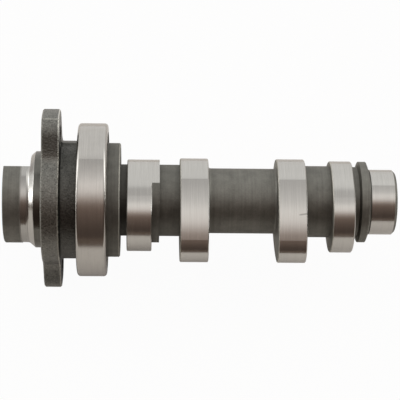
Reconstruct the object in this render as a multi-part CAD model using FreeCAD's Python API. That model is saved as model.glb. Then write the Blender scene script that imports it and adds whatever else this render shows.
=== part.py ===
import os
import math
import FreeCAD
import Part

# Camshaft with a ball bearing and a two-eared sprocket flange.
# Millimetres. The shaft lies along X with the bearing's centre at the origin.
# Every angle about the shaft is counted from +Z towards -Y, in degrees.

# How the shaft is rolled where it lies: the ear, the bearing and the far end touch the table
lay_angle = 30.7

# Bearing, a thin-section deep-groove ball bearing of 30 x 47 x 9
bearing_bore_r = 15.0
bearing_width = 9.0
bearing_corner = 1.0
inner_ring_wall = 2.7
outer_ring_wall = 2.7
land_gap = 3.1
race_depth = 0.83
ball_clearance = 0.04
ball_count = 14

# Cage: two pressed halves with a round pocket for each ball, riveted between the pockets
cage_land_clearance = 0.8
cage_sheet = 0.45
cage_pocket_play = 0.1
rivet_r = 0.4
rivet_head_r = 0.7
rivet_head_height = 0.25

# Left end: stub with a flat, ground band and the chamfer up to the bearing seat
stub_r = 13.35
stub_length = 5.4
stub_chamfer = 0.3
ground_band_undersize = 0.13
ground_band_length = 2.2
pilot_undersize = 0.2
pilot_root_fillet = 1.4
pilot_chamfer_length = 1.8
pilot_corner_round = 0.4
flange_pilot_length = 2.35
stub_flat_length = 8.1
stub_flat_angle = -90.0
stub_flat_depth = 3.4
centre_drill_r = 2.2
centre_drill_depth = 5.0

# Sprocket flange
flange_thickness = 5.35
flange_rim_step = 1.7
flange_edge_break = 0.4
ear_reach = 1.1
ear_r = 8.3
ear_end_trim = 0.7
ear_side_taper = 20.0
ear_root_blend = 5.0
ear_angle = -65.7
ear_hole_r = 3.4
hub_wall = 3.1
hub_length = 5.2
hub_root_fillet = 0.8

# Shoulder that the bearing seats against
collar_height = 2.5
collar_width = 3.9
collar_edge = 0.3

# Plain shaft sections
neck_length = 2.1
shaft_r = 11.0
centre_shaft_step = 1.0
centre_shaft_fillet = 0.9
gap_lobe_1_to_2 = 8.54
gap_lobe_2_to_3 = 20.9
gap_lobe_3_to_4 = 7.8

# Outer lobes, 1 and 4
outer_lobe_width = 7.56
outer_lobe_4_width = 6.66
outer_lobe_step = 1.5
outer_lobe_nose_r = 11.7
outer_lobe_flank_r = 29.5
outer_lobe_lift = 4.5
outer_lobe_angle = 46.5

# Middle lobes, 2 and 3
middle_lobe_width = 8.6
middle_lobe_step = 2.0
middle_lobe_nose_r = 7.35
middle_lobe_flank_r = 32.3
middle_lobe_lift = 8.35
middle_lobe_angle = 53.8

lobe_edge_break = 0.25

# Strip beside lobe 1: the turned blank, ground down with the lobe where the lobe is lower
strip_proud = 0.5
strip_width = 2.3

# Right end: groove, ring, relief and journal
groove_step = 0.2
groove_width = 1.82
ring_height = 1.65
ring_left_slope = 0.55
ring_flat = 2.15
ring_right_slope = 0.8
ring_foot_drop = 0.4
relief_depth = 0.4
relief_width = 0.35
journal_r = 10.0
journal_length = 7.85
journal_chamfer = 0.8

# Radii that follow from the sizes above
inner_land_r = bearing_bore_r + inner_ring_wall
outer_land_r = inner_land_r + land_gap
bearing_outer_r = outer_land_r + outer_ring_wall
ball_circle_r = inner_land_r + land_gap / 2
ball_r = land_gap / 2 + race_depth
cage_inner_r = inner_land_r + cage_land_clearance
cage_outer_r = outer_land_r - cage_land_clearance
ground_band_r = stub_r - ground_band_undersize
pilot_r = bearing_bore_r - pilot_undersize
hub_r = bearing_bore_r + hub_wall
flange_rim_r = hub_r + flange_rim_step
ear_centre_r = flange_rim_r + ear_reach
ear_end_r = ear_centre_r + ear_r - ear_end_trim
collar_r = bearing_bore_r + collar_height
centre_shaft_r = shaft_r - centre_shaft_step
outer_lobe_base_r = shaft_r + outer_lobe_step
middle_lobe_base_r = shaft_r + middle_lobe_step
strip_blank_r = outer_lobe_base_r + strip_proud
outer_lobe = (outer_lobe_base_r, outer_lobe_nose_r, outer_lobe_flank_r, outer_lobe_lift, outer_lobe_angle)
middle_lobe = (middle_lobe_base_r, middle_lobe_nose_r, middle_lobe_flank_r, middle_lobe_lift,
               middle_lobe_angle)
groove_r = shaft_r - groove_step
ring_r = groove_r + ring_height
ring_foot_r = groove_r - ring_foot_drop
relief_r = journal_r - relief_depth

# Stations along the shaft, all taken from the sizes above
bearing_left_x = -bearing_width / 2
bearing_right_x = bearing_width / 2
flange_right_x = bearing_left_x - hub_length
flange_left_x = flange_right_x - flange_thickness
pilot_chamfer_x = flange_left_x - flange_pilot_length
pilot_step_x = pilot_chamfer_x - pilot_chamfer_length
ground_band_x = pilot_step_x - ground_band_length
stub_end_x = ground_band_x - stub_length
collar_right_x = bearing_right_x + collar_width
lobe_1_x = collar_right_x + neck_length
strip_x = lobe_1_x + outer_lobe_width
lobe_2_x = strip_x + gap_lobe_1_to_2
lobe_2_end_x = lobe_2_x + middle_lobe_width
lobe_3_x = lobe_2_end_x + gap_lobe_2_to_3
lobe_3_end_x = lobe_3_x + middle_lobe_width
lobe_4_x = lobe_3_end_x + gap_lobe_3_to_4
lobe_4_end_x = lobe_4_x + outer_lobe_4_width
ring_x = lobe_4_end_x + groove_width
ring_end_x = ring_x + ring_left_slope + ring_flat + ring_right_slope
journal_x = ring_end_x + relief_width
shaft_end_x = journal_x + journal_length


def point(x, r, angle):
    a = math.radians(angle + lay_angle)
    return FreeCAD.Vector(x, -r * math.sin(a), r * math.cos(a))


def cylinder(x0, x1, r):
    return Part.makeCylinder(r, x1 - x0, FreeCAD.Vector(x0, 0, 0), FreeCAD.Vector(1, 0, 0))


def turned(outline):
    """Turn a closed outline of (x, radius) points about the shaft's axis."""
    pts = [FreeCAD.Vector(x, 0, r) for x, r in outline]
    face = Part.Face(Part.makePolygon(pts + [pts[0]]))
    return face.revolve(FreeCAD.Vector(0, 0, 0), FreeCAD.Vector(1, 0, 0), 360)


def turned_fillet(face_x, side, r, size):
    """Concave ring that blends a shaft of radius r into a face on its left (-1) or right (+1)."""
    a = FreeCAD.Vector(face_x, 0, r + size)
    b = FreeCAD.Vector(face_x - side * size, 0, r)
    bend = size * (1 - math.sqrt(0.5))
    mid = FreeCAD.Vector(face_x - side * bend, 0, r + bend)
    inside = FreeCAD.Vector(face_x, 0, r - size)
    inside_b = FreeCAD.Vector(face_x - side * size, 0, r - size)
    edges = [Part.Arc(a, mid, b).toShape(), Part.makeLine(b, inside_b),
             Part.makeLine(inside_b, inside), Part.makeLine(inside, a)]
    face = Part.Face(Part.Wire(edges))
    return face.revolve(FreeCAD.Vector(0, 0, 0), FreeCAD.Vector(1, 0, 0), 360)


def rings_at(solid, x):
    """Circular edges of a turned solid in the plane at x."""
    return [e for e in solid.Edges if e.BoundBox.XLength < 1e-6 and abs(e.BoundBox.XMin - x) < 1e-6]


def lobe_outline(x, base_r, nose_r, flank_r, lift, angle):
    """Base circle, two convex flanks and a nose, tangent where they meet."""
    nose_centre = base_r + lift - nose_r
    to_base = flank_r - base_r
    to_nose = flank_r - nose_r
    along = (to_base ** 2 - to_nose ** 2 + nose_centre ** 2) / (2 * nose_centre)
    across = math.sqrt(to_base ** 2 - along ** 2)
    base_touch = math.degrees(math.atan2(across, -along))
    nose_touch = math.degrees(math.atan2(across, nose_centre - along))

    def at(u, v):
        return point(x, math.hypot(u, v), angle + math.degrees(math.atan2(v, u)))

    def on_base(t):
        return at(base_r * math.cos(math.radians(t)), base_r * math.sin(math.radians(t)))

    def on_nose(t):
        return at(nose_centre + nose_r * math.cos(math.radians(t)), nose_r * math.sin(math.radians(t)))

    def on_flank(t, side):
        u = along + flank_r * math.cos(math.radians(t))
        return at(u, side * (-across + flank_r * math.sin(math.radians(t))))

    mid_touch = (base_touch + nose_touch) / 2
    arcs = [Part.Arc(on_base(base_touch), on_base(180), on_base(-base_touch)),
            Part.Arc(on_base(-base_touch), on_flank(mid_touch, -1), on_nose(-nose_touch)),
            Part.Arc(on_nose(-nose_touch), on_nose(0), on_nose(nose_touch)),
            Part.Arc(on_nose(nose_touch), on_flank(mid_touch, 1), on_base(base_touch))]
    return Part.Wire([arc.toShape() for arc in arcs])


def lobe(x0, x1, *form):
    wire = lobe_outline(x0, *form)
    solid = Part.Face(wire).extrude(FreeCAD.Vector(x1 - x0, 0, 0))
    ends = [e for e in solid.Edges if e.BoundBox.XLength < 1e-6]
    return solid.makeChamfer(lobe_edge_break, ends)


def strip():
    """Blank metal beside lobe 1: the wheel that ground the lobe has taken it down wherever the lobe is lower."""
    start = strip_x - lobe_edge_break
    length = lobe_edge_break + strip_width
    section = Part.Face(lobe_outline(start, *outer_lobe)).extrude(FreeCAD.Vector(length, 0, 0))
    return section.common(cylinder(start, start + length, strip_blank_r))


def centre_drill(x, side):
    tip = FreeCAD.Vector(x - side * centre_drill_r * math.sqrt(3), 0, 0)
    cone = Part.makeCone(0, centre_drill_r, centre_drill_r * math.sqrt(3), tip, FreeCAD.Vector(side, 0, 0))
    drill = Part.makeCylinder(centre_drill_r * 0.4, centre_drill_depth, FreeCAD.Vector(x, 0, 0),
                              FreeCAD.Vector(-side, 0, 0))
    return cone.fuse(drill)


def stub_flat():
    """Block that cuts the flat along the stub, from the end face towards the chamfer."""
    block = Part.makeBox(stub_flat_length, 4 * stub_r, stub_r)
    block.translate(FreeCAD.Vector(stub_end_x, -2 * stub_r, stub_r - stub_flat_depth))
    block.rotate(FreeCAD.Vector(0, 0, 0), FreeCAD.Vector(1, 0, 0), stub_flat_angle + lay_angle)
    return block


def camshaft():
    body = turned([
        (stub_end_x, 0), (stub_end_x, stub_r - stub_chamfer), (stub_end_x + stub_chamfer, stub_r),
        (ground_band_x, stub_r), (ground_band_x, ground_band_r), (pilot_step_x, ground_band_r),
        (pilot_chamfer_x, pilot_r), (flange_left_x, pilot_r), (flange_left_x, bearing_bore_r),
        (bearing_right_x, bearing_bore_r), (bearing_right_x, collar_r),
        (collar_right_x - collar_edge, collar_r), (collar_right_x, collar_r - collar_edge),
        (collar_right_x, shaft_r), (lobe_2_x + middle_lobe_width / 2, shaft_r),
        (lobe_2_x + middle_lobe_width / 2, centre_shaft_r), (lobe_3_x + middle_lobe_width / 2, centre_shaft_r),
        (lobe_3_x + middle_lobe_width / 2, shaft_r), (lobe_4_x + outer_lobe_4_width / 2, shaft_r),
        (lobe_4_x + outer_lobe_4_width / 2, groove_r), (ring_x, groove_r),
        (ring_x + ring_left_slope, ring_r), (ring_x + ring_left_slope + ring_flat, ring_r),
        (ring_end_x, ring_foot_r), (ring_end_x, relief_r), (journal_x, relief_r),
        (journal_x, journal_r), (shaft_end_x - journal_chamfer, journal_r),
        (shaft_end_x, journal_r - journal_chamfer), (shaft_end_x, 0)])
    body = body.makeFillet(pilot_root_fillet, rings_at(body, pilot_step_x))
    body = body.makeFillet(pilot_corner_round, rings_at(body, pilot_chamfer_x))
    added = [lobe(lobe_1_x, strip_x, *outer_lobe), strip(), lobe(lobe_2_x, lobe_2_end_x, *middle_lobe),
             lobe(lobe_3_x, lobe_3_end_x, *middle_lobe), lobe(lobe_4_x, lobe_4_end_x, *outer_lobe),
             turned_fillet(lobe_2_end_x, -1, centre_shaft_r, centre_shaft_fillet),
             turned_fillet(lobe_3_x, 1, centre_shaft_r, centre_shaft_fillet)]
    solid = body.fuse(added)
    solid = solid.cut([stub_flat(), centre_drill(stub_end_x, -1), centre_drill(shaft_end_x, 1)])
    return solid.removeSplitter().Solids[0]


def ear():
    """Round-ended ear along +Z, widening along two straight sides towards the hub."""
    taper = math.radians(ear_side_taper)
    foot = ear_r / math.cos(taper) + ear_centre_r * math.tan(taper)
    touch_y = ear_r * math.cos(taper)
    touch_z = ear_centre_r + ear_r * math.sin(taper)
    outline = [FreeCAD.Vector(flange_left_x, y, z) for y, z in
               ((-foot, 0), (-touch_y, touch_z), (touch_y, touch_z), (foot, 0))]
    sides = Part.Face(Part.makePolygon(outline + [outline[0]])).extrude(FreeCAD.Vector(flange_thickness, 0, 0))
    end = cylinder(flange_left_x, flange_right_x, ear_r)
    end.translate(FreeCAD.Vector(0, 0, ear_centre_r))
    return sides.fuse(end)


def sprocket_flange():
    other = ear()
    other.rotate(FreeCAD.Vector(0, 0, 0), FreeCAD.Vector(1, 0, 0), 180)
    rim = cylinder(flange_left_x, flange_right_x, flange_rim_r)
    ears = ear().fuse(other).common(cylinder(flange_left_x, flange_right_x, ear_end_r))
    plate = ears.fuse(rim).removeSplitter()
    roots = []
    for e in plate.Edges:
        c = e.CenterOfMass
        if e.BoundBox.XLength > flange_thickness / 2 and abs(math.hypot(c.y, c.z) - flange_rim_r) < 1e-3:
            roots.append(e)
    plate = plate.makeFillet(ear_root_blend, roots)
    rims = [e for e in plate.Edges if e.BoundBox.XLength < 1e-6]
    plate = plate.makeChamfer(flange_edge_break, rims)
    hub = cylinder(flange_right_x - flange_thickness / 2, bearing_left_x, hub_r)
    solid = plate.fuse([hub, turned_fillet(flange_right_x, -1, hub_r, hub_root_fillet)])
    cuts = [cylinder(flange_left_x - 1, bearing_left_x + 1, bearing_bore_r)]
    for side in (1, -1):
        hole = cylinder(flange_left_x - 1, bearing_left_x + 1, ear_hole_r)
        hole.translate(FreeCAD.Vector(0, 0, side * ear_centre_r))
        cuts.append(hole)
    solid = solid.cut(cuts).removeSplitter()
    solid.rotate(FreeCAD.Vector(0, 0, 0), FreeCAD.Vector(1, 0, 0), ear_angle + lay_angle)
    return solid.Solids[0]


def race():
    """Ring of round section that the balls run in, a running clearance larger than the balls."""
    return Part.makeTorus(ball_circle_r, ball_r + ball_clearance, FreeCAD.Vector(0, 0, 0),
                          FreeCAD.Vector(1, 0, 0))


def bearing_ring(r_in, r_out, corner_r):
    ring = cylinder(bearing_left_x, bearing_right_x, r_out).cut(
        cylinder(bearing_left_x, bearing_right_x, r_in))
    edges = [e for e in ring.Edges if e.BoundBox.XLength < 1e-6
             and abs(e.Curve.Radius - corner_r) < 1e-6]
    return ring.makeFillet(bearing_corner, edges).cut(race()).Solids[0]


def around_balls(r):
    """A sphere of radius r on each ball's centre."""
    return [Part.makeSphere(r, point(0, ball_circle_r, 360 * i / ball_count)) for i in range(ball_count)]


def cage_band(x0, x1):
    return cylinder(x0, x1, cage_outer_r).cut(cylinder(x0, x1, cage_inner_r))


def between_balls(x0, x1, r):
    """A cylinder of radius r along X half-way between each ball and the next."""
    pins = []
    for i in range(ball_count):
        pin = cylinder(x0, x1, r)
        pin.translate(point(0, ball_circle_r, 360 * (i + 0.5) / ball_count))
        pins.append(pin)
    return pins


def cage_half(side):
    """Pressed half on the sprocket side (-1) or the lobe side (1): domes over the balls, flat between."""
    dome_r = ball_r + cage_pocket_play + cage_sheet
    room = cage_band(min(0, side * dome_r), max(0, side * dome_r))
    domes = room.common(Part.makeCompound(around_balls(dome_r)))
    sheet = cage_band(min(0, side * cage_sheet), max(0, side * cage_sheet))
    holes = around_balls(ball_r + cage_pocket_play) + between_balls(-cage_sheet, cage_sheet, rivet_r)
    return sheet.fuse(domes.Solids).cut(holes).removeSplitter().Solids[0]


def cage_rivets():
    shanks = between_balls(-cage_sheet, cage_sheet, rivet_r)
    left_heads = between_balls(-cage_sheet - rivet_head_height, -cage_sheet, rivet_head_r)
    right_heads = between_balls(cage_sheet, cage_sheet + rivet_head_height, rivet_head_r)
    rivets = []
    for shank, left, right in zip(shanks, left_heads, right_heads):
        rivets.append(shank.fuse([left, right]).removeSplitter())
    return Part.makeCompound(rivets)


os.makedirs("parts", exist_ok=True)
camshaft().exportStep("parts/camshaft.step")
sprocket_flange().exportStep("parts/sprocket_flange.step")
bearing_ring(bearing_bore_r, inner_land_r, bearing_bore_r).exportStep("parts/inner_ring.step")
bearing_ring(outer_land_r, bearing_outer_r, bearing_outer_r).exportStep("parts/outer_ring.step")
cage_half(-1).exportStep("parts/cage_sprocket_side.step")
cage_half(1).exportStep("parts/cage_lobe_side.step")
cage_rivets().exportStep("parts/cage_rivets.step")
Part.makeCompound(around_balls(ball_r)).exportStep("parts/bearing_balls.step")
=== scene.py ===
import math
import bpy
from mathutils import Matrix, Vector


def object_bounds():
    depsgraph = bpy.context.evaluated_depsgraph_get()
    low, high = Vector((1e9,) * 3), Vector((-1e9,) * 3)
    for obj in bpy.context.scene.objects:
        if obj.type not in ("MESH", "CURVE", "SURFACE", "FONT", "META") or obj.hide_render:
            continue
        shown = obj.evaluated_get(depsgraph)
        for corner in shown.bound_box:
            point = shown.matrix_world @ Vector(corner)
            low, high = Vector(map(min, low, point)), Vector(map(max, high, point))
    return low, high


MM = 0.001

# Camera of the photograph: above the shaft and in front of it, the shaft's right end a little lower
CAMERA_ELEVATION = math.radians(59.3)
CAMERA_YAW = math.radians(1.89)
CAMERA_ROLL = math.radians(0.5)
CAMERA_DISTANCE = 486 * MM
CAMERA_VIEW_ANGLE = math.radians(14.46)
CENTRE_ALONG_SHAFT = 32.9 * MM
CENTRE_ABOVE_AXIS = 0.2 * MM

# Stations along the shaft in millimetres, measured from the bearing's middle
BEYOND_STUB = -30.0
GROUND_BAND_START = -21.4
CONE_START = -19.2
CONE_END = -17.4
FLANGE_FACE = -15.05
HUB_START = -9.7
HUB_ROOT_END = -9.1
COLLAR_START, COLLAR_END = 4.5, 8.4
LOBE_1 = (10.5, 18.06)
STRIP = (18.06, 20.36)
LOBE_2 = (26.6, 35.2)
LOBE_3 = (56.1, 64.7)
LOBE_4 = (72.5, 79.16)
SMALL_RING = (80.98, 84.48)
JOURNAL = (84.83, 91.88)
# How far past the collar's end and past the flange's face their masks reach
COLLAR_MARGIN = 0.05
FLANGE_FACE_MARGIN = 0.1

# Radii in millimetres
STRIP_GROUND_RADIUS = 12.91
EAR_FLANK = (21.5, 26.5)
EAR_END_BEVEL = (28.35, 28.47)

# The nick on the third lobe: its ends along the shaft, and its middle, tilt and width on the lobe's face
NICK = (62.3, 64.8)
NICK_DOWNWARD_Y, NICK_DOWNWARD_Z = -0.860, -0.510
NICK_BELOW_AXIS = 3.82
NICK_RISE = 0.14
NICK_WIDTH = 0.45
NICK_FADE = 0.5

# How far a surface leans along the shaft: 0 on a round face, 1 on an end face, negative towards the left
STEEL_BEVEL = (0.5, 0.9)
IRON_BEVEL = (0.55, 0.85)
BEVEL_SOFT = 0.1
END_FACE = 0.95
GROUND_LEFT_LIMIT, GROUND_RIGHT_LIMIT = -0.35, 0.85

# Colours, linear
WHITE = (1.0, 1.0, 1.0)
GROUND_STEEL = (0.578, 0.563, 0.529)
DARK_STEEL = (0.183, 0.179, 0.159)
CAST_IRON = (0.190, 0.187, 0.168)
MACHINED_IRON = (0.30, 0.285, 0.26)
RING_STEEL = (0.540, 0.520, 0.485)
BALL_STEEL = (0.60, 0.60, 0.60)
CAGE_STEEL = (0.34, 0.33, 0.31)
FLOOR_WHITE = (0.76, 0.73, 0.69)

# Roughness, from the smoothest to the roughest place
GROUND_ROUGHNESS = (0.13, 0.23)
DARK_ROUGHNESS = (0.50, 0.64)
PILOT_ROUGHNESS = 0.20
CAST_ROUGHNESS = (0.24, 0.40)
MACHINED_ROUGHNESS = 0.30
RING_ROUGHNESS = (0.14, 0.22)
BALL_ROUGHNESS = (0.05, 0.12)
CAGE_ROUGHNESS = (0.28, 0.42)

# How many times lighter than the rest the dark steel is painted, from one station to another: painted shade
# in the neck between the collar and the first lobe, painted light on the shaft between lobes 2 and 3 and
# between lobes 3 and 4, and plainly lighter or darker in the other rows
TONE_PAINTED_LIGHT_AND_SHADE = (
    (BEYOND_STUB, GROUND_BAND_START, 1.22),
    (CONE_END, FLANGE_FACE, 0.78),
    # painted shade in the neck between the collar and the first lobe
    (COLLAR_END, LOBE_1[0], 0.62),
    (STRIP[1], LOBE_2[0], 0.98),
    # painted light on the shaft between lobes 2 and 3, and between lobes 3 and 4
    (LOBE_2[1], LOBE_3[0], 1.18),
    (LOBE_3[1], LOBE_4[0], 1.14),
    (*SMALL_RING, 1.25),
)
# The same for painted highlights on its bevels at the collar, the journal's end and the lobes' left sides,
# and for painted light on the side walls of the lobes
COLLAR_EDGE_PAINTED_HIGHLIGHT = 2.4
JOURNAL_EDGE_PAINTED_HIGHLIGHT = 1.3
LOBE_LEFT_EDGE_PAINTED_HIGHLIGHT = 3.2
LOBE_WALL_PAINTED_LIGHT = 1.9
# The same for the ground steel, on the band beside the stub and in the nick
BAND_SHADE = 0.79
NICK_SHADE = 0.62
# The same for the cast iron: darker on the hub and on the ears' flanks, painted shade in the corner at the
# hub's root, and painted highlights on the plate's left and right bevels and along the edge of the ears'
# ends
HUB_SHADE = 0.45
HUB_ROOT_PAINTED_SHADE = 0.5
EAR_FLANK_SHADE = 0.62
PLATE_LEFT_EDGE_PAINTED_HIGHLIGHT = 1.3
PLATE_RIGHT_EDGE_PAINTED_HIGHLIGHT = 3.2
EAR_END_EDGE_PAINTED_HIGHLIGHT = 2.0

# How dark and how light each fine pattern makes its metal, as factors
GRINDING_CONTRAST = (0.86, 1.14)
SMEAR_CONTRAST = (0.95, 1.05)
SHEET_CONTRAST = (0.8, 1.2)
# The range that the noise of the cast iron's specks is drawn out to
SPECK_RANGE = (-0.8, 1.8)
# How much of a metal the cast skin is, where the machined face is wholly one
CAST_METALLIC = 0.85

# Depth of the grinding lines, the nick and the machined face's grain, against the grain beside them
GRINDING_DEPTH = 0.12
NICK_DEPTH = 0.3
MACHINED_DEPTH = 0.05

# Studio round the shaft: angle from the front horizon over the top in degrees, brightness, warmth
STUDIO = (
    (0, 0.055, 0.4), (12, 0.065, 0.4), (30, 0.10, 0.4), (46, 0.145, 0.4), (53, 0.23, 0.3),
    (59, 0.42, 0.2), (71, 0.93, 0.06), (83, 1.03, 0.035), (95, 0.80, 0.02), (122, 0.51, 0.015),
    (125, 0.86, 0.0), (180, 0.86, 0.0),
)
# The same towards the two ends of the shaft
STUDIO_SIDES = (
    (0, 0.03, 0.4), (46, 0.06, 0.4), (60, 0.09, 0.3), (93, 0.38, 0.05), (107, 1.8, 0.0),
    (118, 3.6, 0.0), (138, 3.6, 0.0), (150, 0.95, 0.0), (180, 0.90, 0.0),
)
STUDIO_UNDER_HORIZON = (0.140, 0.105, 0.085)
# What a warmth of 1 adds to red and takes from blue
WARM_RED, WARM_BLUE = 0.9, 0.4
# Share of plain white in what the camera sees directly and in what metal reflects
FLOOR_SEEN, FLOOR_MIRRORED = 0.96, 0.10
BACKDROP_SEEN, BACKDROP_MIRRORED = 1.0, 0.80

# The floor's edges and the lamp, in metres and watts
FLOOR_FRONT, FLOOR_BACK, FLOOR_SIDE = -0.150, 0.110, 0.400
LAMP_PLACE = (-0.75, 0.011, 0.02)
LAMP_WIDTH = 0.18
LAMP_WATTS = 0.25


class NodeTree:
    """A node tree, built by calls that each return an output socket."""

    def __init__(self, tree):
        self.tree = tree
        tree.nodes.clear()

    def node(self, kind, **settings):
        made = self.tree.nodes.new(kind)
        for key, value in settings.items():
            setattr(made, key, value)
        return made

    def feed(self, socket, value):
        if isinstance(value, bpy.types.NodeSocket):
            self.tree.links.new(value, socket)
        elif socket.type == "RGBA":
            socket.default_value = (*value, 1.0)
        else:
            socket.default_value = value

    def split(self, vector):
        made = self.node("ShaderNodeSeparateXYZ")
        self.feed(made.inputs[0], vector)
        return made.outputs[0], made.outputs[1], made.outputs[2]

    def math(self, operation, a, b=0.0):
        made = self.node("ShaderNodeMath", operation=operation)
        self.feed(made.inputs[0], a)
        self.feed(made.inputs[1], b)
        return made.outputs[0]

    def chain(self, operation, values):
        result = values[0]
        for value in values[1:]:
            result = self.math(operation, result, value)
        return result

    def mix(self, mask, low, high):
        """low where mask is 0, high where it is 1; both numbers or both colours."""
        colour = isinstance(low, bpy.types.NodeSocket) and low.type != "VALUE"
        first, second, result = (6, 7, 2) if colour else (2, 3, 0)
        made = self.node("ShaderNodeMix", data_type="RGBA" if colour else "FLOAT")
        self.feed(made.inputs[0], mask)
        self.feed(made.inputs[first], low)
        self.feed(made.inputs[second], high)
        return made.outputs[result]

    def with_white(self, lit, emitter, camera_share, mirror_share):
        """lit, mixed towards plain white by these shares for camera rays and for rays off metal or glass."""
        path = self.node("ShaderNodeLightPath").outputs
        mirrored = self.math("MAXIMUM", path["Is Glossy Ray"], path["Is Transmission Ray"])
        seen_share = self.math("MULTIPLY", path["Is Camera Ray"], camera_share)
        share = self.math("ADD", seen_share, self.math("MULTIPLY", mirrored, mirror_share))
        white = self.node(emitter)
        self.feed(white.inputs["Color"], WHITE)
        self.feed(white.inputs["Strength"], 1.0)
        mixed = self.node("ShaderNodeMixShader")
        for socket, value in zip(mixed.inputs, (share, lit, white.outputs[0])):
            self.feed(socket, value)
        return mixed.outputs[0]


class Shader(NodeTree):
    """A metal's node tree, with places in millimetres and masks that pick out parts of the surface."""

    def __init__(self, name):
        self.material = bpy.data.materials.new(name)
        self.material.use_nodes = True
        super().__init__(self.material.node_tree)
        scaled = self.node("ShaderNodeVectorMath", operation="SCALE")
        self.feed(scaled.inputs[0], self.node("ShaderNodeTexCoord").outputs["Object"])
        self.feed(scaled.inputs["Scale"], 1 / MM)
        self.place = scaled.outputs[0]
        self.x, self.y, self.z = self.split(self.place)
        squares = [self.math("MULTIPLY", part, part) for part in (self.y, self.z)]
        self.radius = self.math("SQRT", self.math("ADD", *squares))
        self.lean = self.split(self.node("ShaderNodeNewGeometry").outputs["Normal"])[0]
        self.end_face = self.math("ABSOLUTE", self.lean)

    def above(self, value, limit, soft=0.04):
        """1 where value is over limit, 0 where it is under, with a soft step."""
        made = self.node("ShaderNodeMapRange", interpolation_type="SMOOTHSTEP")
        self.feed(made.inputs["Value"], value)
        self.feed(made.inputs["From Min"], limit - soft)
        self.feed(made.inputs["From Max"], limit + soft)
        return made.outputs["Result"]

    def below(self, value, limit, soft=0.04):
        return self.math("SUBTRACT", 1.0, self.above(value, limit, soft))

    def between(self, value, low, high, soft=0.04):
        return self.both(self.above(value, low, soft), self.below(value, high, soft))

    def both(self, *masks):
        return self.chain("MULTIPLY", masks)

    def either(self, *masks):
        return self.chain("MAXIMUM", masks)

    def bevel(self, side, leans):
        """1 on bevels that lean to the shaft's right end, for side 1, or to its left end, for side -1."""
        return self.between(self.math("MULTIPLY", self.lean, side), *leans, soft=BEVEL_SOFT)

    def noise(self, scale, stretch=(1, 1, 1), detail=2.0):
        """Noise with its grains 1 / scale mm wide, divided by stretch along each axis."""
        shaped = self.node("ShaderNodeVectorMath", operation="MULTIPLY")
        self.feed(shaped.inputs[0], self.place)
        self.feed(shaped.inputs[1], stretch)
        made = self.node("ShaderNodeTexNoise")
        self.feed(made.inputs["Vector"], shaped.outputs[0])
        self.feed(made.inputs["Scale"], scale)
        self.feed(made.inputs["Detail"], detail)
        return made.outputs["Fac"]

    def spread(self, value, low, high):
        """value from 0 to 1 becomes low to high."""
        made = self.node("ShaderNodeMapRange")
        self.feed(made.inputs["Value"], value)
        self.feed(made.inputs["To Min"], low)
        self.feed(made.inputs["To Max"], high)
        return made.outputs["Result"]

    def shade(self, skin, mask, factor):
        """skin, times factor where mask is 1."""
        return self.math("MULTIPLY", skin, self.spread(mask, 1.0, factor))

    def blend(self, *layers):
        """A factor round 1, from noises and how far each of them moves it."""
        total = 1.0
        for noise, amount in layers:
            offset = self.math("MULTIPLY", self.math("SUBTRACT", noise, 0.5), amount)
            total = self.math("ADD", total, offset)
        return total

    def tint(self, colour, skin):
        """colour made lighter or darker by skin, a factor that varies over the surface."""
        made = self.node("ShaderNodeVectorMath", operation="SCALE")
        self.feed(made.inputs[0], colour)
        self.feed(made.inputs["Scale"], skin)
        return made.outputs[0]

    def bump(self, height, depth_mm):
        made = self.node("ShaderNodeBump")
        self.feed(made.inputs["Strength"], 1.0)
        self.feed(made.inputs["Distance"], depth_mm * MM)
        self.feed(made.inputs["Height"], height)
        return made.outputs["Normal"]

    def surface(self, colour, roughness, metallic=1.0, normal=None):
        made = self.node("ShaderNodeBsdfPrincipled")
        self.feed(made.inputs["Base Color"], colour)
        self.feed(made.inputs["Roughness"], roughness)
        self.feed(made.inputs["Metallic"], metallic)
        if normal is not None:
            self.feed(made.inputs["Normal"], normal)
        self.feed(self.node("ShaderNodeOutputMaterial").inputs["Surface"], made.outputs[0])
        return self.material


def grinding_lines(s):
    """Fine lines round the shaft, as a grinding wheel leaves them."""
    return s.noise(scale=1.0, stretch=(4.0, 0.08, 0.08), detail=4.0)


def turning_marks(s):
    """Broader and fainter lines round the shaft, as a lathe leaves them."""
    return s.noise(scale=1.0, stretch=(1.6, 0.05, 0.05), detail=3.0)


def nick(s):
    """1 in the short slanted mark across the third lobe's right edge."""
    down_y = s.math("MULTIPLY", s.y, NICK_DOWNWARD_Y)
    down_z = s.math("MULTIPLY", s.z, NICK_DOWNWARD_Z)
    rise = s.math("MULTIPLY", s.math("SUBTRACT", s.x, sum(NICK) / 2), NICK_RISE)
    height = s.chain("ADD", (down_y, down_z, rise))
    off = s.math("ABSOLUTE", s.math("SUBTRACT", height, NICK_BELOW_AXIS))
    length = s.between(s.x, *NICK, soft=NICK_FADE)
    width = s.below(off, NICK_WIDTH / 2, soft=NICK_WIDTH / 2)
    front = s.below(s.y, 0.0)
    return s.both(front, length, width)


def ground_faces(s, lobes, band):
    """1 where the camshaft is ground bright."""
    left_limit = s.above(s.lean, GROUND_LEFT_LIMIT, soft=0.1)
    right_limit = s.below(s.lean, GROUND_RIGHT_LIMIT, soft=0.05)
    journal = s.between(s.x, *JOURNAL)
    strip = s.both(s.between(s.x, *STRIP), s.below(s.radius, STRIP_GROUND_RADIUS, soft=0.015))
    cone = s.between(s.x, CONE_START, CONE_END)
    return s.either(s.both(left_limit, right_limit, s.either(lobes, journal, strip)), cone, band)


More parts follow.
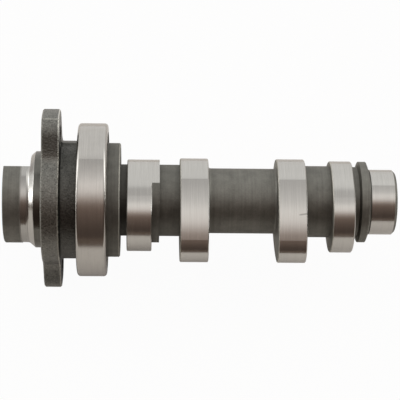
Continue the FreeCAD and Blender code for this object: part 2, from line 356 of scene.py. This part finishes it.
def dark_skin(s, lobes, grain, mottle):
    """How light the camshaft's dark steel is painted, as a factor round 1: its grain and marks, with painted
    shade and painted light along the shaft, painted highlights on bevels and painted light on the lobes'
    side walls.
    """
    skin = s.blend((grain, 0.4), (mottle, 0.7), (turning_marks(s), 0.45))
    for start, end, factor in TONE_PAINTED_LIGHT_AND_SHADE:
        skin = s.shade(skin, s.between(s.x, start, end), factor)
    # painted highlights on the bevels of the collar, the journal's right end and the lobes' left sides
    right_bevel = s.bevel(1, STEEL_BEVEL)
    collar = s.between(s.x, COLLAR_START, COLLAR_END + COLLAR_MARGIN)
    skin = s.shade(skin, s.both(right_bevel, collar), COLLAR_EDGE_PAINTED_HIGHLIGHT)
    skin = s.shade(skin, s.both(right_bevel, s.above(s.x, JOURNAL[1])), JOURNAL_EDGE_PAINTED_HIGHLIGHT)
    skin = s.shade(skin, s.both(s.bevel(-1, STEEL_BEVEL), lobes), LOBE_LEFT_EDGE_PAINTED_HIGHLIGHT)
    # painted light on the side walls of the lobes
    return s.shade(skin, s.both(s.above(s.end_face, END_FACE), lobes), LOBE_WALL_PAINTED_LIGHT)


def camshaft_steel():
    s = Shader("ground_and_dark_steel")
    lines = grinding_lines(s)
    grain = s.noise(scale=2.2, detail=4.0)
    mottle = s.noise(scale=0.35, detail=3.0)
    mark = nick(s)
    lobes = s.either(*[s.between(s.x, *span) for span in (LOBE_1, LOBE_2, LOBE_3, LOBE_4)])
    band = s.between(s.x, GROUND_BAND_START, CONE_START, soft=0.45)
    pilot = s.between(s.x, CONE_END, FLANGE_FACE)
    ground = ground_faces(s, lobes, band)
    dark = s.tint(DARK_STEEL, dark_skin(s, lobes, grain, mottle))
    bright_skin = s.shade(s.spread(lines, *GRINDING_CONTRAST), band, BAND_SHADE)
    bright_skin = s.shade(bright_skin, mark, NICK_SHADE)
    colour = s.mix(ground, dark, s.tint(GROUND_STEEL, bright_skin))
    dull = s.mix(pilot, s.spread(mottle, *DARK_ROUGHNESS), PILOT_ROUGHNESS)
    roughness = s.mix(ground, dull, s.spread(lines, *GROUND_ROUGHNESS))
    line_height = s.math("MULTIPLY", lines, GRINDING_DEPTH)
    bright_height = s.math("SUBTRACT", line_height, s.math("MULTIPLY", mark, NICK_DEPTH))
    height = s.mix(ground, grain, bright_height)
    return s.surface(colour, roughness, normal=s.bump(height, depth_mm=0.03))


def iron_skin(s, specks):
    """How light the flange's cast iron is painted, as a factor round 1: its specks and patches, darker on
    the hub and the ears' flanks, with painted shade at the hub's root and painted highlights on the plate's
    bevels and the ears' end edges.
    """
    plate = s.below(s.x, HUB_START, soft=0.05)
    patches = s.noise(scale=0.7, detail=3.0)
    skin = s.blend((specks, 0.80), (patches, 0.6))
    skin = s.math("MULTIPLY", skin, s.spread(plate, HUB_SHADE, 1.0))
    # painted shade in the corner at the hub's root
    skin = s.shade(skin, s.between(s.x, HUB_START, HUB_ROOT_END, soft=0.2), HUB_ROOT_PAINTED_SHADE)
    skin = s.shade(skin, s.between(s.radius, *EAR_FLANK, soft=1.5), EAR_FLANK_SHADE)
    # painted highlights on the plate's left and right bevels and along the edge of the ears' ends
    skin = s.shade(skin, s.both(plate, s.bevel(-1, IRON_BEVEL)), PLATE_LEFT_EDGE_PAINTED_HIGHLIGHT)
    skin = s.shade(skin, s.both(plate, s.bevel(1, IRON_BEVEL)), PLATE_RIGHT_EDGE_PAINTED_HIGHLIGHT)
    return s.shade(skin, s.both(plate, s.between(s.radius, *EAR_END_BEVEL, soft=0.03)), EAR_END_EDGE_PAINTED_HIGHLIGHT)


def cast_flange():
    s = Shader("cast_and_machined_iron")
    specks = s.spread(s.noise(scale=2.4, detail=3.0), *SPECK_RANGE)
    face = s.both(s.above(s.end_face, END_FACE, soft=0.02), s.below(s.x, FLANGE_FACE + FLANGE_FACE_MARGIN))
    cast = s.tint(CAST_IRON, iron_skin(s, specks))
    machined = s.tint(MACHINED_IRON, s.blend((specks, 0.16)))
    colour = s.mix(face, cast, machined)
    roughness = s.mix(face, s.spread(specks, *CAST_ROUGHNESS), MACHINED_ROUGHNESS)
    metallic = s.spread(face, CAST_METALLIC, 1.0)
    height = s.mix(face, specks, s.math("MULTIPLY", specks, MACHINED_DEPTH))
    return s.surface(colour, roughness, metallic, s.bump(height, depth_mm=0.055))


def bearing_steel():
    s = Shader("ring_steel")
    lines = grinding_lines(s)
    mottle = s.noise(scale=0.5, detail=3.0)
    colour = s.tint(RING_STEEL, s.blend((lines, 0.30), (mottle, 0.10)))
    return s.surface(colour, s.spread(lines, *RING_ROUGHNESS), normal=s.bump(lines, depth_mm=0.003))


def ball_steel():
    s = Shader("polished_steel")
    smear = s.noise(scale=0.6)
    return s.surface(s.tint(BALL_STEEL, s.spread(smear, *SMEAR_CONTRAST)), s.spread(smear, *BALL_ROUGHNESS))


def cage_steel():
    s = Shader("pressed_sheet")
    grain = s.noise(scale=3.0, detail=3.0)
    colour = s.tint(CAGE_STEEL, s.spread(grain, *SHEET_CONTRAST))
    return s.surface(colour, s.spread(grain, *CAGE_ROUGHNESS), normal=s.bump(grain, depth_mm=0.01))


def paint(nodes, names, material):
    for name in names:
        slot = nodes[name].material_slots[0]
        slot.link = "OBJECT"
        slot.material = material


def sky_ramp(tree, place, stops):
    """One slice of the studio, with place running from the front horizon over the top to the back one."""
    ramp = tree.node("ShaderNodeValToRGB")
    tree.feed(ramp.inputs[0], place)
    elements = ramp.color_ramp.elements
    while len(elements) < len(stops):
        elements.new(0.5)
    for element, (degrees, level, warmth) in zip(elements, stops):
        element.position = degrees / 180
        element.color = (level * (1 + WARM_RED * warmth), level, level * (1 - WARM_BLUE * warmth), 1.0)
    return ramp.outputs[0]


def studio_world():
    """Soft light from above and behind, brighter towards the shaft's ends, and dark in front."""
    world = bpy.data.worlds.new("studio")
    bpy.context.scene.world = world
    world.use_nodes = True
    tree = NodeTree(world.node_tree)
    x, y, z = tree.split(tree.node("ShaderNodeTexCoord").outputs["Generated"])
    angle = tree.math("ARCTAN2", z, tree.math("MULTIPLY", y, -1.0))
    place = tree.math("DIVIDE", angle, math.pi)
    sideways = tree.math("MULTIPLY", x, x)
    over = tree.mix(sideways, sky_ramp(tree, place, STUDIO), sky_ramp(tree, place, STUDIO_SIDES))
    under = tree.math("LESS_THAN", z, 0.0)
    lit = tree.node("ShaderNodeBackground")
    tree.feed(lit.inputs["Color"], tree.mix(under, over, STUDIO_UNDER_HORIZON))
    backdrop = tree.math("MULTIPLY", under, tree.math("GREATER_THAN", y, 0.0))
    middle = tree.math("MULTIPLY", tree.math("SUBTRACT", 1.0, sideways), BACKDROP_MIRRORED)
    mirror_share = tree.math("MULTIPLY", middle, backdrop)
    seen = tree.with_white(lit.outputs[0], "ShaderNodeBackground", BACKDROP_SEEN, mirror_share)
    tree.feed(tree.node("ShaderNodeOutputWorld").inputs["Surface"], seen)


def floor_material():
    material = bpy.data.materials.new("pale_floor")
    material.use_nodes = True
    tree = NodeTree(material.node_tree)
    matt = tree.node("ShaderNodeBsdfDiffuse")
    tree.feed(matt.inputs["Color"], FLOOR_WHITE)
    seen = tree.with_white(matt.outputs[0], "ShaderNodeEmission", FLOOR_SEEN, FLOOR_MIRRORED)
    tree.feed(tree.node("ShaderNodeOutputMaterial").inputs["Surface"], seen)
    return material


def floor(level):
    """A pale sheet under the part, which ends a hand's breadth in front of it and behind it."""
    left, right = CENTRE_ALONG_SHAFT - FLOOR_SIDE, CENTRE_ALONG_SHAFT + FLOOR_SIDE
    corners = [(left, FLOOR_FRONT), (right, FLOOR_FRONT), (right, FLOOR_BACK), (left, FLOOR_BACK)]
    mesh = bpy.data.meshes.new("floor")
    mesh.from_pydata([(x, y, level) for x, y in corners], [], [(0, 1, 2, 3)])
    mesh.materials.append(floor_material())
    sheet = bpy.data.objects.new("floor", mesh)
    bpy.context.scene.collection.objects.link(sheet)


def softbox():
    """A square lamp at the left, which faces the middle of the shaft."""
    light = bpy.data.lights.new("left_softbox", "AREA")
    light.size = LAMP_WIDTH
    light.energy = LAMP_WATTS
    lamp = bpy.data.objects.new("left_softbox", light)
    bpy.context.scene.collection.objects.link(lamp)
    lamp.location = LAMP_PLACE
    aim = Vector((CENTRE_ALONG_SHAFT, 0, 0)) - lamp.location
    lamp.rotation_euler = aim.to_track_quat("-Z", "Y").to_euler()


def camera():
    """The photograph's camera."""
    to_camera = Vector((-math.sin(CAMERA_YAW),
                        -math.cos(CAMERA_YAW) * math.cos(CAMERA_ELEVATION),
                        math.cos(CAMERA_YAW) * math.sin(CAMERA_ELEVATION)))
    along = Vector((1, 0, 0))
    level = (along - along.dot(to_camera) * to_camera).normalized()
    upward = to_camera.cross(level)
    right = math.cos(CAMERA_ROLL) * level + math.sin(CAMERA_ROLL) * upward
    up = to_camera.cross(right)
    data = bpy.data.cameras.new("camera")
    data.sensor_fit = "HORIZONTAL"
    data.angle = CAMERA_VIEW_ANGLE
    data.clip_start = 10 * MM
    made = bpy.data.objects.new("camera", data)
    bpy.context.scene.collection.objects.link(made)
    centre = Vector((CENTRE_ALONG_SHAFT, 0, 0)) + CENTRE_ABOVE_AXIS * up
    turn = Matrix((right, up, to_camera)).transposed().to_4x4()
    made.matrix_world = Matrix.Translation(centre + CAMERA_DISTANCE * to_camera) @ turn
    bpy.context.scene.camera = made


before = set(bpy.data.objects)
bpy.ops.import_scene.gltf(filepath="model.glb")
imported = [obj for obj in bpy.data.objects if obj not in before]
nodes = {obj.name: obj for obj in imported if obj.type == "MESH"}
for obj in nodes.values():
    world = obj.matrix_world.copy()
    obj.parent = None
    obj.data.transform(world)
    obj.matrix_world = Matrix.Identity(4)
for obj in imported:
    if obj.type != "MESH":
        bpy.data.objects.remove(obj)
cad_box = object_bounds()
bpy.context.scene.view_settings.view_transform = "Standard"

paint(nodes, ["camshaft"], camshaft_steel())
paint(nodes, ["sprocket_flange"], cast_flange())
paint(nodes, ["inner_ring", "outer_ring"], bearing_steel())
paint(nodes, ["bearing_balls"], ball_steel())
paint(nodes, ["cage_sprocket_side", "cage_lobe_side", "cage_rivets"], cage_steel())

studio_world()
floor(cad_box[0][2])
softbox()
camera()
